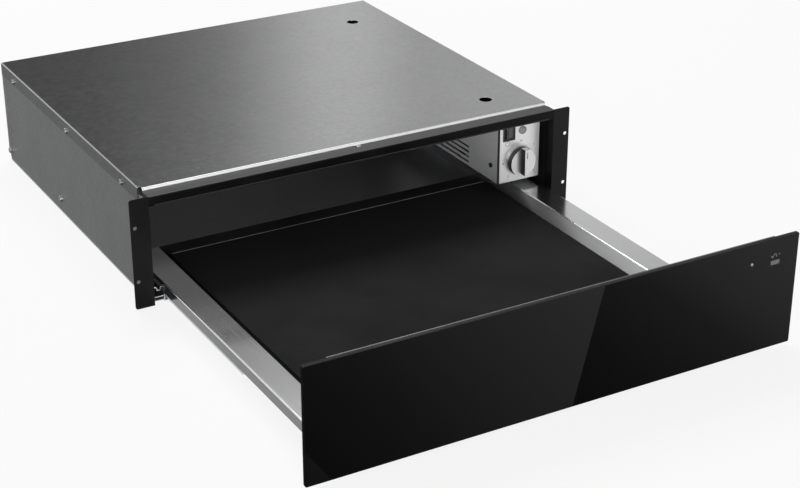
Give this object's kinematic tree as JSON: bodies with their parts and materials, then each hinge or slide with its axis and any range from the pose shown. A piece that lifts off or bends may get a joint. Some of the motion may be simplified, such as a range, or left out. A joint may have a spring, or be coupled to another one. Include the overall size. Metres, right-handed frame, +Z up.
{
  "type": "warming drawer",
  "caption": "Built-in warming drawer for a kitchen cabinet: steel casing with mounting flanges, heated glass-floored drawer on runners, handleless black glass front and a side control panel.",
  "frame": {"origin": "middle of the casing's underside, on the surface that it stands on", "axes": "+Z up, -Y the way the drawer comes out, +X to the right as seen from the front"},
  "size_m": [0.594, 0.9424, 0.139],
  "materials": {
    "galvanised_steel": "galvanised, fine spangle",
    "black_frame": "satin black paint",
    "seal": "matt silicone",
    "runner_steel": "zinc plated",
    "bearing_steel": "polished",
    "panel_metal": "fine brushed",
    "switch_plastic": "gloss black",
    "lamp_plastic": "clear over a grey reflector",
    "pale_plastic": "moulded",
    "knob_metal": "satin",
    "spindle_brass": "turned",
    "dark_plastic": "moulded",
    "motor_steel": "pressed",
    "rotor_metal": "pressed",
    "lead": "sheathed",
    "screw_steel": "bright zinc",
    "stainless_rail": "polished stainless",
    "black_enamel": "black enamel",
    "base_glass": "black ceramic glass",
    "heater_steel": "heat tinted",
    "mineral_mat": "felted mineral fibre",
    "front_glass": "black tempered glass",
    "carrier_steel": "plain steel",
    "light_plastic": "clear"
  },
  "bodies": {
    "casing": {"base_panel": "galvanised_steel", "side_panel_left": "galvanised_steel", "side_panel_right": "galvanised_steel", "rear_panel": "galvanised_steel", "top_cover": "galvanised_steel", "mounting_flange_left": "black_frame", "mounting_flange_right": "black_frame", "frame_bar": "black_frame", "front_seal": "seal", "runner_fixed_left": "runner_steel", "runner_fixed_right": "runner_steel", "control_housing": "galvanised_steel", "control_plate": "panel_metal", "switch_body": "switch_plastic", "lamp_lens": "lamp_plastic", "lamp_body": "pale_plastic", "thermostat": "pale_plastic", "fan_housing": "dark_plastic", "fan_motor": "motor_steel", "terminal_block": "pale_plastic", "supply_lead": "lead", "lead_grommet": "seal", "cord_gland": "dark_plastic", "cover_screws": "screw_steel", "runner_screws": "screw_steel", "housing_screws": "screw_steel"},
    "drawer": {"runner_inner_left": "runner_steel", "runner_inner_right": "runner_steel", "drawer_rail_left": "stainless_rail", "drawer_rail_right": "stainless_rail", "drawer_rear_wall": "black_enamel", "base_tray": "black_enamel", "plate_frame": "black_enamel", "glass_base_plate": "base_glass", "heating_element": "heater_steel", "insulation_mat": "mineral_mat", "thermal_cutout": "pale_plastic", "front_glass": "front_glass", "front_carrier": "carrier_steel", "front_inner_panel": "carrier_steel", "front_bracket_left": "carrier_steel", "front_bracket_right": "carrier_steel", "front_screws": "screw_steel", "front_bumpers": "seal", "status_light": "light_plastic"},
    "runner_middle": {"runner_middle_left": "runner_steel", "runner_middle_right": "runner_steel", "runner_balls": "bearing_steel"},
    "thermostat_knob": {"knob": "knob_metal", "thermostat_spindle": "spindle_brass"},
    "rocker": {"switch_rocker": "switch_plastic"},
    "fan_rotor": {"fan_impeller": "rotor_metal"}
  },
  "joints": [
    {"name": "drawer_slide", "type": "slide", "parent": "casing", "child": "drawer", "axis": [0, 1, 0], "range_m": [0, 0.418]},
    {"name": "runner_slide", "type": "slide", "parent": "casing", "child": "runner_middle", "axis": [0, 1, 0], "range_m": [0, 0.209]},
    {"name": "thermostat_turn", "type": "hinge", "parent": "casing", "child": "thermostat_knob", "pos_m": [0.23695, -0.2315, 0.068], "axis": [0, 1, 0], "range_deg": [0, 270]},
    {"name": "rocker_tilt", "type": "hinge", "parent": "casing", "child": "rocker", "pos_m": [0.2198, -0.2265, 0.1101], "axis": [0, 0, 1], "range_deg": [-14, 0]},
    {"name": "fan_spin", "type": "hinge", "parent": "casing", "child": "fan_rotor", "pos_m": [0.22, -0.1145, 0.0868], "axis": [1, 0, 0], "continuous": true}
  ],
  "couplings": [
    {"joint": "runner_slide", "follows": "drawer_slide", "ratio": 0.5}
  ]
}
